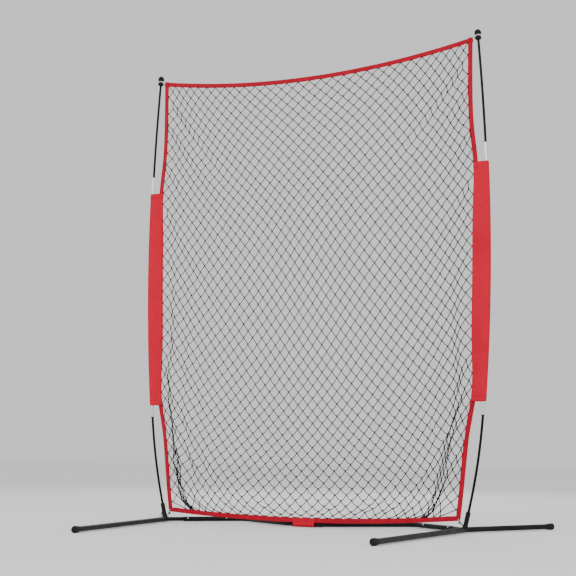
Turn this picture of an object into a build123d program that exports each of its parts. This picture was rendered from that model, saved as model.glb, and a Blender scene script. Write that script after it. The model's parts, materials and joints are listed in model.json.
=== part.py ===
from build123d import *
import os
from math import cos, radians, sin

# Pitching target net: two bowed masts on splayed steel legs, with a diamond mesh net stretched
# between them inside a red fabric binding. Millimetres. X runs along the net, +Y is the back,
# +Z is up. The origin is on the floor, under the middle of the net.

os.makedirs("parts", exist_ok=True)

# ---------------------------------------------------------------- base dimensions
AXIS_Z = 14.0  # height of every base tube's centre line
HUB_X = 725.0  # where a mast's line meets its leg tube
TUBE_R, TUBE_BORE_R = 11.0, 9.5
NECK_R, NECK_BORE_R = 9.3, 8.0  # the thinner tube that plugs into a leg or arm tube
FRONT_FOOT = (637.0, -852.0)
REAR_FOOT = (999.0, 438.0)
HUB_BEND_R = 70.0
KNEE = (425.0, 228.0)  # corner between the inner arm and the crossbar half
KNEE_BEND_R = 60.0
COUPLING_Y = 16.0  # the crossbar's middle stretch lies just behind the net
COUPLING_TURN_X = 96.0  # where a crossbar half turns into that stretch
COUPLING_BEND_R = 80.0
HALF_GAP = 1.0  # half the gap between the crossbar halves inside the coupling

CAP_R, CAP_NECK_R, CAP_LENGTH, CAP_END = 14.3, 12.2, 38.0, 9.0
CAP_ROUND, CAP_SHOULDER = 5.0, 12.0  # its end's rounding, and where it starts to narrow
CAP_LIP, CAP_BEVEL = 1.0, 0.5  # at its open end
CAP_FIT = 0.15

ARM_START = 85.0  # from the hub to the inner arm's open end
STUB_END = 135.0  # from the hub to the end of the stub inside it
NECK_REACH = 50.0  # how far a crossbar half's neck goes into the inner arm
NECK_COLLAR = 6.0  # the neck's step down from the tube
ARM_END_TO_KNEE = 70.0
ARM_BUTTON = 105.0  # from the hub
KNEE_BUTTON = 88.0  # from the knee

BUTTON_R, BUTTON_HOLE_R, BUTTON_FLANGE_R = 3.6, 3.9, 4.4
BUTTON_SEAT, BUTTON_FLANGE, BUTTON_TIP = 5.4, 1.0, 14.0  # along its axis, from the tube's centre
BUTTON_NOSE = 2.0
BUTTON_TILT = 25.0  # degrees up from the horizontal
LEAF_WIDTH, LEAF_THICK, LEAF_LENGTH, LEAF_TOP, LEAF_FOOT = 6.6, 0.5, 30.0, 5.1, -6.4
LEAF_OVERHANG = 6.0  # past the button's middle

COUPLING_R, COUPLING_BORE_R, COUPLING_LENGTH = 12.5, 11.15, 150.0

# ---------------------------------------------------------------- mast dimensions
# Spans along the mast: socket, lower rod, middle tube, upper rod, and the lean from the
# vertical in degrees where each span starts and ends.
SPANS = (75.0, 411.0, 1179.0, 494.0)
LEANS = (14.0, 14.0, 5.0, -2.1, -4.2)
ROD_R = 5.5
BUSH_BORE_R = 5.6
SOCKET_R, SOCKET_BORE_R, SOCKET_FOOT_R, SOCKET_FOOT = 10.0, 8.0, 15.5, 19.0
SOCKET_FOOT_TAPER = 16.0
SOCKET_FLOOR = 16.0  # solid bottom of the socket, from the hub
MIDDLE_R, MIDDLE_BORE_R = 8.5, 7.3
BUSH_DEPTH, BUSH_LIP = 45.0, 3.0
ROD_IN_BUSH = 40.0
FIT = 0.1  # radial clearance between nested pieces

CAP_BORE_R, CAP_BORE_TOP = 5.65, 8.0
POLE_CAP_BOTTOM, POLE_CAP_TOP = -23.0, 26.0  # from the rod's tip
POLE_CAP_FOOT_R, POLE_CAP_RIM_R = 9.5, 15.8
GROOVE_R, GROOVE_LOW, GROOVE_HIGH = 9.5, -7.0, -1.0
LOWER_BULGE, DOME_SHOULDER = (14.4, -13.0), (11.4, 19.2)  # points on the cap's two arcs
RIM_LOW, RIM_HIGH, RIM_UNDER = 3.0, 8.0, (12.8, 0.2)

HOOK_START, HOOK_TIP = (724.0, 28.0), (703.0, 43.0)  # in the net's plane
HOOK_R, HOOK_BALL_R = 2.5, 4.5

# ---------------------------------------------------------------- net dimensions
TOP_CORNER = (790.0, 2155.0)
TOP_MIDDLE_Z = 2080.0
BOTTOM_CORNER = (707.0, 50.0)
BOTTOM_MIDDLE_Z = 20.0
SIDE_EDGE = ((707, 50), (733, 258), (760, 455), (779, 550), (787, 800), (793, 1060),
             (801, 1400), (805, 1590), (791, 1740), (786, 1900), (790, 2155))
BAND_WIDTH, BAND_THICK = 21.0, 3.0
PANEL_THICK = 3.0
SEAM = 0.3  # gap left between neighbouring soft pieces

SLEEVE_BOTTOM, SLEEVE_TOP = 547.0, 1586.0
SLEEVE_SECTIONS = 7
SLEEVE_WALL = 1.0
SLEEVE_R, SLEEVE_EDGE_R, SLEEVE_GAP = 10.6, 2.4, 1.5

TAB_LEFT, TAB_RIGHT = -64.0, 39.0
TAB_R, TAB_WALL, TAB_TOP = 13.8, 1.0, 39.0
TAB_FRONT_Y = -2.8  # the front flap's outer face, just in front of the bottom band

LOOP_R = 1.5  # the corner loops' cord
LOWER_TAIL_OUT = 2.4  # from the net's bottom corner to the lower loop's end


def export_piece(part, name):
    part.label = name
    export_step(part, f"parts/{name}.step")


def export_pair(piece, name):
    """Writes a right-hand piece, and its mirror image as the left-hand one."""
    with BuildPart() as twin:
        mirror(piece.part, about=Plane.YZ)
    export_piece(piece.part, f"{name}_right")
    export_piece(twin.part, f"{name}_left")


def bent_tube(route, outer, bore=0.0, bends=None):
    """A tube along straight runs that are joined by tangent arcs."""
    with BuildPart() as tube:
        with BuildLine() as path:
            if bends:
                FilletPolyline(*route, radius=bends)
            else:
                Line(*route)
        with BuildSketch(Plane(origin=route[0], z_dir=Vector(*route[1]) - Vector(*route[0]))):
            Circle(outer)
            if bore:
                Circle(bore, mode=Mode.SUBTRACT)
        sweep(path=path.line)
    return tube.part


def base_point(place):
    return Vector(place[0], place[1], AXIS_Z)


def toward(start, end, distance):
    """The point at a distance from start, on the way to end."""
    return start + (end - start).normalized() * distance


# ---------------------------------------------------------------- the mast's line
def arc_step(length, lean, next_lean):
    """Sideways and upward travel along an arc of a given length between two leans."""
    half_turn = radians(next_lean - lean) / 2
    chord = length * (sin(half_turn) / half_turn if half_turn else 1.0)
    middle = radians((lean + next_lean) / 2)
    return chord * sin(middle), chord * cos(middle)


def mast_at(distance):
    """The mast's centre and lean at a distance along its line from the hub."""
    x, z = HUB_X, AXIS_Z
    for index, span in enumerate(SPANS):
        last = index == len(SPANS) - 1
        step = distance if last else min(distance, span)
        lean = LEANS[index] + (LEANS[index + 1] - LEANS[index]) * step / span
        dx, dz = arc_step(step, LEANS[index], lean)
        x, z = x + dx, z + dz
        distance -= step
        if distance <= 0:
            break
    return Vector(x, 0, z), lean


def mast_plane(distance):
    """A plane square to the mast, with its X axis in the net's plane."""
    centre, lean = mast_at(distance)
    lean = radians(lean)
    return Plane(origin=centre, x_dir=(cos(lean), 0, -sin(lean)), z_dir=(sin(lean), 0, cos(lean)))


def mast_tube(start, end, outer, bore=0.0):
    """A round piece that follows the mast's line from start to end."""
    stations = [start]
    mark = 0.0
    for span in SPANS[:-1]:
        mark += span
        if start < mark < end:
            stations.append(mark)
    stations.append(end)
    with BuildPart() as tube:
        with BuildLine() as path:
            for low, high in zip(stations, stations[1:]):
                first, middle, last = (mast_at(at)[0] for at in (low, (low + high) / 2, high))
                if (middle - (first + last) / 2).length < 0.001:
                    Line(first, last)
                else:
                    ThreePointArc(first, middle, last)
        with BuildSketch(mast_plane(start)):
            Circle(outer)
            if bore:
                Circle(bore, mode=Mode.SUBTRACT)
        sweep(path=path.line)
    return tube.part


SOCKET_TOP = SPANS[0]
MIDDLE_LOW = SOCKET_TOP + SPANS[1]
MIDDLE_HIGH = MIDDLE_LOW + SPANS[2]
TIP = MIDDLE_HIGH + SPANS[3]

HUB = base_point((HUB_X, 0.0))
KNEE_POINT = base_point(KNEE)
ARM_AXIS = (KNEE_POINT - HUB).normalized()

# ---------------------------------------------------------------- leg tubes and rubber feet
FRONT_END, REAR_END = base_point(FRONT_FOOT), base_point(REAR_FOOT)
leg_route = [toward(FRONT_END, HUB, CAP_END), HUB, toward(REAR_END, HUB, CAP_END)]
leg_envelope = bent_tube(leg_route, TUBE_R + 0.05, bends=HUB_BEND_R)

with BuildPart() as leg_tube:
    add(bent_tube(leg_route, TUBE_R, TUBE_BORE_R, HUB_BEND_R))
export_pair(leg_tube, "leg_tube")


def rubber_foot(end):
    """A flared end cap with a narrow flat sole on the floor. Its open end faces the hub."""
    inward = (HUB - end).normalized()
    with BuildPart() as foot:
        with BuildSketch(Plane(origin=end, x_dir=(0, 0, 1), z_dir=inward.cross(Vector(0, 0, 1)))):
            with BuildLine():
                Line((0, 0), (CAP_R - CAP_ROUND, 0))
                RadiusArc((CAP_R - CAP_ROUND, 0), (CAP_R, -CAP_ROUND), CAP_ROUND)
                Line((CAP_R, -CAP_ROUND), (CAP_R, -CAP_SHOULDER))
                Line((CAP_R, -CAP_SHOULDER), (CAP_NECK_R, -CAP_LENGTH + CAP_LIP))
                Line((CAP_NECK_R, -CAP_LENGTH + CAP_LIP), (CAP_NECK_R - CAP_BEVEL, -CAP_LENGTH))
                Line((CAP_NECK_R - CAP_BEVEL, -CAP_LENGTH), (TUBE_R + CAP_FIT, -CAP_LENGTH))
                Line((TUBE_R + CAP_FIT, -CAP_LENGTH), (TUBE_R + CAP_FIT, -CAP_END + CAP_FIT))
                Line((TUBE_R + CAP_FIT, -CAP_END + CAP_FIT), (0, -CAP_END + CAP_FIT))
                Line((0, -CAP_END + CAP_FIT), (0, 0))
            make_face()
        revolve(axis=Axis(end, inward))
        with BuildSketch(Plane.XY):
            with Locations((end.X, end.Y)):
                Circle(3 * CAP_LENGTH)
        extrude(amount=-2 * CAP_R, mode=Mode.SUBTRACT)
    return foot


export_pair(rubber_foot(FRONT_END), "front_foot")
export_pair(rubber_foot(REAR_END), "rear_foot")

# ---------------------------------------------------------------- pole socket and net hook
def socket_body(grown=0.0):
    """The socket's solid outer shape: a round tube with a flared foot."""
    with BuildPart() as body:
        with BuildSketch(mast_plane(0)):
            Circle(SOCKET_R + grown)
        extrude(amount=SOCKET_TOP)
        with BuildSketch(mast_plane(0)):
            Circle(SOCKET_FOOT_R + grown)
        extrude(amount=SOCKET_FOOT, taper=SOCKET_FOOT_TAPER)
    return body.part


with BuildPart() as pole_socket:
    add(socket_body())
    with BuildSketch(mast_plane(SOCKET_FLOOR)):
        Circle(SOCKET_BORE_R)
    extrude(amount=SOCKET_TOP, mode=Mode.SUBTRACT)
    add(leg_envelope, mode=Mode.SUBTRACT)
    with BuildSketch(Plane.XY.offset(AXIS_Z)):
        with Locations((HUB_X, 0)):
            Circle(3 * SOCKET_FOOT_R)
    extrude(amount=-2 * TUBE_R, mode=Mode.SUBTRACT)
export_pair(pole_socket, "pole_socket")

hook_foot = Vector(HOOK_START[0], 0, HOOK_START[1])
hook_tip = Vector(HOOK_TIP[0], 0, HOOK_TIP[1])
with BuildPart() as net_hook:
    with BuildSketch(Plane(origin=hook_foot, z_dir=hook_tip - hook_foot)):
        Circle(HOOK_R)
    extrude(amount=(hook_tip - hook_foot).length)
    with Locations(hook_tip):
        Sphere(HOOK_BALL_R)
    add(socket_body(FIT), mode=Mode.SUBTRACT)
export_pair(net_hook, "net_hook")

# ---------------------------------------------------------------- inner arm and crossbar
arm_button_centre = toward(HUB, KNEE_POINT, ARM_BUTTON)
knee_button_centre = toward(KNEE_POINT, HUB, KNEE_BUTTON)
front_side = Vector(0, 0, 1).cross(ARM_AXIS)
button_axis = front_side * cos(radians(BUTTON_TILT)) + Vector(0, 0, 1) * sin(radians(BUTTON_TILT))

with BuildPart() as arm_stub:
    add(bent_tube([HUB, toward(HUB, KNEE_POINT, STUB_END)], NECK_R, NECK_BORE_R))
    add(leg_envelope, mode=Mode.SUBTRACT)
    add(socket_body(FIT), mode=Mode.SUBTRACT)
    with BuildSketch(Plane(origin=arm_button_centre, z_dir=button_axis)):
        Circle(BUTTON_HOLE_R)
    extrude(amount=2 * TUBE_R, mode=Mode.SUBTRACT)
    stub_pieces = arm_stub.part.solids().sort_by(Axis(HUB, ARM_AXIS))
with BuildPart() as stub:
    add(stub_pieces[-1])
export_pair(stub, "arm_stub")

arm_start = toward(HUB, KNEE_POINT, ARM_START)
arm_end = toward(KNEE_POINT, HUB, ARM_END_TO_KNEE)
with BuildPart() as inner_arm:
    add(bent_tube([arm_start, arm_end], TUBE_R, TUBE_BORE_R))
    for centre in (arm_button_centre, knee_button_centre):
        with BuildSketch(Plane(origin=centre, z_dir=button_axis)):
            Circle(BUTTON_HOLE_R)
        extrude(amount=2 * TUBE_R, mode=Mode.SUBTRACT)
export_pair(inner_arm, "inner_arm")

bar_start = toward(KNEE_POINT, HUB, ARM_END_TO_KNEE - SEAM)
bar_route = [bar_start, KNEE_POINT, base_point((COUPLING_TURN_X, COUPLING_Y)),
             base_point((HALF_GAP, COUPLING_Y))]
with BuildPart() as crossbar_half:
    add(bent_tube(bar_route, TUBE_R, TUBE_BORE_R, [KNEE_BEND_R, COUPLING_BEND_R]))
    with BuildSketch(Plane(origin=toward(bar_start, KNEE_POINT, NECK_COLLAR), z_dir=-ARM_AXIS)):
        Circle(TUBE_BORE_R + SEAM)
        Circle(NECK_BORE_R, mode=Mode.SUBTRACT)
    extrude(amount=NECK_COLLAR)
    with BuildSketch(Plane(origin=bar_start, z_dir=-ARM_AXIS)):
        Circle(NECK_R)
        Circle(NECK_BORE_R, mode=Mode.SUBTRACT)
    extrude(amount=NECK_REACH)
    with BuildSketch(Plane(origin=knee_button_centre, z_dir=button_axis)):
        Circle(BUTTON_HOLE_R)
    extrude(amount=2 * TUBE_R, mode=Mode.SUBTRACT)
export_pair(crossbar_half, "crossbar_half")

with BuildPart() as centre_coupling:
    with BuildSketch(Plane.YZ.offset(-COUPLING_LENGTH / 2)):
        with Locations((COUPLING_Y, AXIS_Z)):
            Circle(COUPLING_R)
            Circle(COUPLING_BORE_R, mode=Mode.SUBTRACT)
    extrude(amount=COUPLING_LENGTH)
    chamfer(centre_coupling.edges().filter_by(GeomType.CIRCLE).sort_by(SortBy.LENGTH)[-2:], 0.5)
export_piece(centre_coupling.part, "centre_coupling")


# ---------------------------------------------------------------- snap buttons and their springs
def snap_button(centre):
    """A round-nosed button with a flange that stops it against the inside of the tube."""
    nose_radius = (BUTTON_R**2 + BUTTON_NOSE**2) / (2 * BUTTON_NOSE)
    with BuildPart() as button:
        with BuildSketch(Plane(origin=centre, x_dir=ARM_AXIS, z_dir=ARM_AXIS.cross(button_axis))):
            with BuildLine():
                Line((0, BUTTON_SEAT), (BUTTON_FLANGE_R, BUTTON_SEAT))
                Line((BUTTON_FLANGE_R, BUTTON_SEAT), (BUTTON_FLANGE_R, BUTTON_SEAT + BUTTON_FLANGE))
                Line((BUTTON_FLANGE_R, BUTTON_SEAT + BUTTON_FLANGE),
                     (BUTTON_R, BUTTON_SEAT + BUTTON_FLANGE))
                Line((BUTTON_R, BUTTON_SEAT + BUTTON_FLANGE), (BUTTON_R, BUTTON_TIP - BUTTON_NOSE))
                RadiusArc((BUTTON_R, BUTTON_TIP - BUTTON_NOSE), (0, BUTTON_TIP), -nose_radius)
                Line((0, BUTTON_TIP), (0, BUTTON_SEAT))
            make_face()
        revolve(axis=Axis(centre, button_axis))
    return button


def snap_spring(centre):
    """A leaf folded back on itself: one leg under the button, the other on the tube's far wall."""
    bend_x = LEAF_LENGTH - LEAF_OVERHANG
    bend_r = (LEAF_TOP - LEAF_FOOT) / 2
    middle = (LEAF_TOP + LEAF_FOOT) / 2
    with BuildPart() as spring:
        with BuildSketch(Plane(origin=centre, x_dir=ARM_AXIS, z_dir=ARM_AXIS.cross(button_axis))):
            with BuildLine():
                Line((-LEAF_OVERHANG, LEAF_TOP), (bend_x, LEAF_TOP))
                ThreePointArc((bend_x, LEAF_TOP), (bend_x + bend_r, middle), (bend_x, LEAF_FOOT))
                Line((bend_x, LEAF_FOOT), (0, LEAF_FOOT))
                Line((0, LEAF_FOOT), (0, LEAF_FOOT + LEAF_THICK))
                Line((0, LEAF_FOOT + LEAF_THICK), (bend_x, LEAF_FOOT + LEAF_THICK))
                ThreePointArc((bend_x, LEAF_FOOT + LEAF_THICK),
                              (bend_x + bend_r - LEAF_THICK, middle),
                              (bend_x, LEAF_TOP - LEAF_THICK))
                Line((bend_x, LEAF_TOP - LEAF_THICK), (-LEAF_OVERHANG, LEAF_TOP - LEAF_THICK))
                Line((-LEAF_OVERHANG, LEAF_TOP - LEAF_THICK), (-LEAF_OVERHANG, LEAF_TOP))
            make_face()
        extrude(amount=LEAF_WIDTH / 2, both=True)
    return spring


for place, centre in (("arm", arm_button_centre), ("knee", knee_button_centre)):
    export_pair(snap_button(centre), f"{place}_snap_button")
    export_pair(snap_spring(centre), f"{place}_snap_spring")

# ---------------------------------------------------------------- mast pieces
with BuildPart() as socket_bush:
    add(mast_tube(SOCKET_FLOOR + FIT, SOCKET_TOP, SOCKET_BORE_R - FIT, BUSH_BORE_R))
export_pair(socket_bush, "socket_bush")

with BuildPart() as lower_rod:
    add(mast_tube(SOCKET_FLOOR + FIT, MIDDLE_LOW + ROD_IN_BUSH, ROD_R))
export_pair(lower_rod, "lower_rod")

with BuildPart() as middle_tube:
    add(mast_tube(MIDDLE_LOW, MIDDLE_HIGH, MIDDLE_R, MIDDLE_BORE_R))
export_pair(middle_tube, "middle_tube")


def tube_bush(end, inward):
    """A lipped reducer in an end of the middle tube. Inward is 1 up the mast and -1 down it."""
    square = mast_plane(end)
    into_tube = square.z_dir * inward
    with BuildPart() as bush:
        with BuildSketch(Plane(origin=square.origin - into_tube * BUSH_LIP, z_dir=into_tube)):
            Circle(MIDDLE_R - FIT)
        extrude(amount=BUSH_LIP - FIT)
        with BuildSketch(Plane(origin=square.origin - into_tube * BUSH_LIP, z_dir=into_tube)):
            Circle(MIDDLE_BORE_R - FIT)
        extrude(amount=BUSH_LIP + BUSH_DEPTH)
        with BuildSketch(Plane(origin=square.origin - into_tube * 2 * BUSH_LIP, z_dir=into_tube)):
            Circle(BUSH_BORE_R)
        extrude(amount=2 * BUSH_DEPTH, mode=Mode.SUBTRACT)
    return bush


export_pair(tube_bush(MIDDLE_LOW, 1), "lower_bush")
export_pair(tube_bush(MIDDLE_HIGH, -1), "upper_bush")

with BuildPart() as upper_rod:
    add(mast_tube(MIDDLE_HIGH - ROD_IN_BUSH, TIP + CAP_BORE_TOP - 1, ROD_R))
export_pair(upper_rod, "upper_rod")

tip_plane = mast_plane(TIP)
tip_side = Plane(origin=tip_plane.origin, x_dir=tip_plane.x_dir, z_dir=(0, -1, 0))
with BuildPart() as pole_cap:
    with BuildSketch(tip_side):
        with BuildLine():
            ThreePointArc((0, POLE_CAP_TOP), DOME_SHOULDER, (POLE_CAP_RIM_R, RIM_HIGH))
            Line((POLE_CAP_RIM_R, RIM_HIGH), (POLE_CAP_RIM_R - 1, RIM_LOW))
            ThreePointArc((POLE_CAP_RIM_R - 1, RIM_LOW), RIM_UNDER, (GROOVE_R, GROOVE_HIGH))
            Line((GROOVE_R, GROOVE_HIGH), (GROOVE_R, GROOVE_LOW))
            ThreePointArc((GROOVE_R, GROOVE_LOW), LOWER_BULGE, (POLE_CAP_FOOT_R, POLE_CAP_BOTTOM))
            Line((POLE_CAP_FOOT_R, POLE_CAP_BOTTOM), (CAP_BORE_R, POLE_CAP_BOTTOM))
            Line((CAP_BORE_R, POLE_CAP_BOTTOM), (CAP_BORE_R, CAP_BORE_TOP))
            Line((CAP_BORE_R, CAP_BORE_TOP), (0, CAP_BORE_TOP))
            Line((0, CAP_BORE_TOP), (0, POLE_CAP_TOP))
        make_face()
    revolve(axis=Axis(tip_plane.origin, tip_plane.z_dir))
export_pair(pole_cap, "pole_cap")


# ---------------------------------------------------------------- net and its binding
def net_outline(inset, gap=0.0):
    """The net's outline, drawn inside its outer edge by inset plus gap."""
    inner = inset + gap
    right = [(x - inner, z) for x, z in SIDE_EDGE]
    right[0] = (BOTTOM_CORNER[0] - inner, BOTTOM_CORNER[1] + inner)
    right[-1] = (TOP_CORNER[0] - inner, TOP_CORNER[1] - inner)
    left = [(-x, z) for x, z in right]
    Spline(*right)
    ThreePointArc(right[-1], (0, TOP_MIDDLE_Z - inner), left[-1])
    Spline(*reversed(left))
    ThreePointArc(left[0], (0, BOTTOM_MIDDLE_Z + inner), right[0])


with BuildPart() as net_panel:
    with BuildSketch(Plane.XZ):
        with BuildLine():
            net_outline(BAND_WIDTH, SEAM)
        make_face()
    extrude(amount=PANEL_THICK / 2, both=True)
export_piece(net_panel.part, "net_panel")

# Each band is the part of the binding on one side of the mitred corners.
MITRE_REACH = 200.0
top_mitre = (TOP_CORNER[0] - MITRE_REACH, TOP_CORNER[1] - MITRE_REACH)
bottom_mitre = (BOTTOM_CORNER[0] - MITRE_REACH, BOTTOM_CORNER[1] + MITRE_REACH)
top_outer = (TOP_CORNER[0] + MITRE_REACH, TOP_CORNER[1] + MITRE_REACH)
bottom_outer = (BOTTOM_CORNER[0] + MITRE_REACH, BOTTOM_CORNER[1] - MITRE_REACH)


def mirrored(point):
    return (-point[0], point[1])


def band(zone):
    """The stretch of the binding that lies inside a zone's polygon."""
    with BuildPart() as strip:
        with BuildSketch(Plane.XZ):
            with BuildLine():
                net_outline(0.0)
            make_face()
            with BuildLine():
                net_outline(BAND_WIDTH)
            make_face(mode=Mode.SUBTRACT)
            with BuildLine():
                Polyline(*zone, close=True)
            make_face(mode=Mode.INTERSECT)
        extrude(amount=BAND_THICK / 2, both=True)
    return strip


def shifted(points, dx, dz):
    return [(x + dx, z + dz) for x, z in points]


top_zone = [top_mitre, top_outer, mirrored(top_outer), mirrored(top_mitre)]
bottom_zone = [bottom_mitre, bottom_outer, mirrored(bottom_outer), mirrored(bottom_mitre)]
side_zone = [bottom_mitre, bottom_outer, top_outer, top_mitre]
export_piece(band(shifted(top_zone, 0, SEAM)).part, "top_band")
export_piece(band(shifted(bottom_zone, 0, -SEAM)).part, "bottom_band")
export_pair(band(side_zone), "side_band")


# ---------------------------------------------------------------- pole sleeves
def mast_x(z):
    """The mast's X at a height, found by stepping along its line."""
    distance = z
    for _ in range(6):
        distance += z - mast_at(distance)[0].Z
    return mast_at(distance)[0].X


side_curve = Edge.make_spline([Vector(x, 0, z) for x, z in SIDE_EDGE])


def side_x(z):
    """The X of the net's outer edge at a height, found by halving the curve."""
    low, high = 0.0, 1.0
    for _ in range(30):
        middle = (low + high) / 2
        if (side_curve @ middle).Z < z:
            low = middle
        else:
            high = middle
    return (side_curve @ low).X


def sleeve_skin(wall):
    """A teardrop tube round the pole that narrows to the seam with the net's side band."""
    overrun = 5.0 if wall else 0.0
    low, high = SLEEVE_BOTTOM - overrun, SLEEVE_TOP + overrun
    heights = [low + (high - low) * n / (SLEEVE_SECTIONS - 1) for n in range(SLEEVE_SECTIONS)]
    with BuildPart() as skin:
        for z in heights:
            pole_x, seam_x = mast_x(z), side_x(z) + SLEEVE_EDGE_R + SLEEVE_GAP
            with BuildSketch(Plane.XY.offset(z)):
                with Locations((pole_x, 0)):
                    Circle(SLEEVE_R - wall)
                with Locations((seam_x, 0)):
                    Circle(SLEEVE_EDGE_R - wall)
                make_hull()
        loft()
    return skin.part


with BuildPart() as pole_sleeve:
    add(sleeve_skin(0.0))
    add(sleeve_skin(SLEEVE_WALL), mode=Mode.SUBTRACT)
export_pair(pole_sleeve, "pole_sleeve")

# ---------------------------------------------------------------- crossbar tab
# It hangs in front of the bottom band, passes under the coupling and comes back over its top.
tab_front_centre = TAB_FRONT_Y + TAB_R
with BuildPart() as crossbar_tab:
    with BuildSketch(Plane.YZ.offset(TAB_LEFT)):
        for wall, mode in ((0.0, Mode.ADD), (TAB_WALL, Mode.SUBTRACT)):
            with BuildSketch(mode=Mode.PRIVATE) as wrap:
                with Locations((COUPLING_Y, AXIS_Z), (tab_front_centre, AXIS_Z)):
                    Circle(TAB_R - wall)
                make_hull()
            add(wrap.sketch, mode=mode)
        with Locations((tab_front_centre - TAB_R, AXIS_Z)):
            Rectangle(TAB_R, 2 * TAB_R, align=(Align.MIN, Align.MIN), mode=Mode.SUBTRACT)
        with Locations((TAB_FRONT_Y, AXIS_Z)):
            Rectangle(TAB_WALL, TAB_TOP - AXIS_Z, align=(Align.MIN, Align.MIN))
    extrude(amount=TAB_RIGHT - TAB_LEFT)
export_piece(crossbar_tab.part, "crossbar_tab")

# ---------------------------------------------------------------- corner loops
groove_middle = (GROOVE_LOW + GROOVE_HIGH) / 2
loop_ring_r = GROOVE_R + LOOP_R + FIT
with BuildPart() as upper_loop:
    with BuildSketch(tip_side):
        with Locations((loop_ring_r, groove_middle)):
            Circle(LOOP_R)
    revolve(axis=Axis(tip_plane.origin, tip_plane.z_dir))
    tail_start = tip_plane.from_local_coords(Vector(-loop_ring_r, 0, groove_middle))
    tail_end = Vector(TOP_CORNER[0] + LOOP_R, 0, TOP_CORNER[1] + LOOP_R)
    with BuildSketch(Plane(origin=tail_start, z_dir=tail_end - tail_start)):
        Circle(LOOP_R)
    extrude(amount=(tail_end - tail_start).length)
export_pair(upper_loop, "upper_loop")

hook_axis = (hook_tip - hook_foot).normalized()
lower_ring_r = HOOK_R + LOOP_R + FIT
ring_centre = hook_tip - hook_axis * (HOOK_BALL_R + 2 * LOOP_R)
across = Vector(0, 1, 0)
above = hook_axis.cross(across) if hook_axis.cross(across).Z > 0 else across.cross(hook_axis)
with BuildPart() as lower_loop:
    with BuildSketch(Plane(origin=ring_centre, x_dir=above, z_dir=across)):
        with Locations((lower_ring_r, 0)):
            Circle(LOOP_R)
    revolve(axis=Axis(ring_centre, hook_axis))
    tail_start = ring_centre + above * lower_ring_r
    tail_end = Vector(BOTTOM_CORNER[0] + LOWER_TAIL_OUT, 0, BOTTOM_CORNER[1] - LOOP_R)
    with BuildSketch(Plane(origin=tail_start, z_dir=tail_end - tail_start)):
        Circle(LOOP_R)
    extrude(amount=(tail_end - tail_start).length)
export_pair(lower_loop, "lower_loop")
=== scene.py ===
import json
import math

import bpy
import numpy as np
from mathutils import Matrix, Vector, noise


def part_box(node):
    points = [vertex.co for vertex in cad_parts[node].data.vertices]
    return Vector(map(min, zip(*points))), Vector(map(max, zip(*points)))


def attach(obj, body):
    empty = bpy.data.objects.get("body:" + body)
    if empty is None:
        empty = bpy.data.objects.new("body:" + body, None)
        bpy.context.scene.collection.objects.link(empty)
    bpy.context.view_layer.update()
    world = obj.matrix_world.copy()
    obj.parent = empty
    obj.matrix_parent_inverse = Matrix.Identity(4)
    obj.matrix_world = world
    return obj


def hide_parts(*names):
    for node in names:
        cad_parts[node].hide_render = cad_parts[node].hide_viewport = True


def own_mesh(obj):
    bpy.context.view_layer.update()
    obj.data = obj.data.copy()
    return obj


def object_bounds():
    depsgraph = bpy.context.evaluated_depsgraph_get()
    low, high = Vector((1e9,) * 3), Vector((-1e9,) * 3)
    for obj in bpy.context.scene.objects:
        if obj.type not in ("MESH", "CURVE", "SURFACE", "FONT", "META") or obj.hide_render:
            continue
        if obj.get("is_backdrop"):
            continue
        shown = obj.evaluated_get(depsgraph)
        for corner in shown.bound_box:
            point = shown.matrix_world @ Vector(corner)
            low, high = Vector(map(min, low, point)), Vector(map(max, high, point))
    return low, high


# A pitching target net. The frame's tubes, rods and fittings are the CAD's own. This script makes
# the knotted mesh, its binding, the sleeves, the cord loops and every finish. Metres, +Z up.

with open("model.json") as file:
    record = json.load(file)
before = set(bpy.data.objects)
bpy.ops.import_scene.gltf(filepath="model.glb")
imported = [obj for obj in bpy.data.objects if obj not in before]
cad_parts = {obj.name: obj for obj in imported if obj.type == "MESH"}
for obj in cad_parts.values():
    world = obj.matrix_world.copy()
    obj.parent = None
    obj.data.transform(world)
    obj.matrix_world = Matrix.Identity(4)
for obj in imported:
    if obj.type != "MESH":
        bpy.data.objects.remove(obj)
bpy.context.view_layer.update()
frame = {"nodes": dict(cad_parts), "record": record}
nodes = frame["nodes"]
BODY = "frame"
SIDES = (("right", 1), ("left", -1))

# ---------------------------------------------------------------- camera, floor and light
CAMERA_PLACE = (2.0961, -4.6990, 0.3156)
CAMERA_HEADING, CAMERA_TILT, CAMERA_ROLL = 24.552, 8.343, 0.502  # degrees
CAMERA_LENS, CAMERA_SHIFT = 71.02, (-0.0172, 0.0012)
SKY_STRENGTH = 0.85
LAMPS = (  # name, place, target, size, watts
    ("key", (3.0, -4.5, 4.2), (0, 0, 1.0), 3.0, 130),
    ("fill", (-4.0, -3.0, 2.5), (0, 0, 1.0), 3.0, 50),
    ("rim", (-1.5, 4.5, 3.5), (0, 0, 1.2), 2.5, 60),
)
FLOOR_COLOR, FLOOR_ROUGHNESS, FLOOR_SIZE = (0.93, 0.93, 0.925, 1), 0.85, 60


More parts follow.
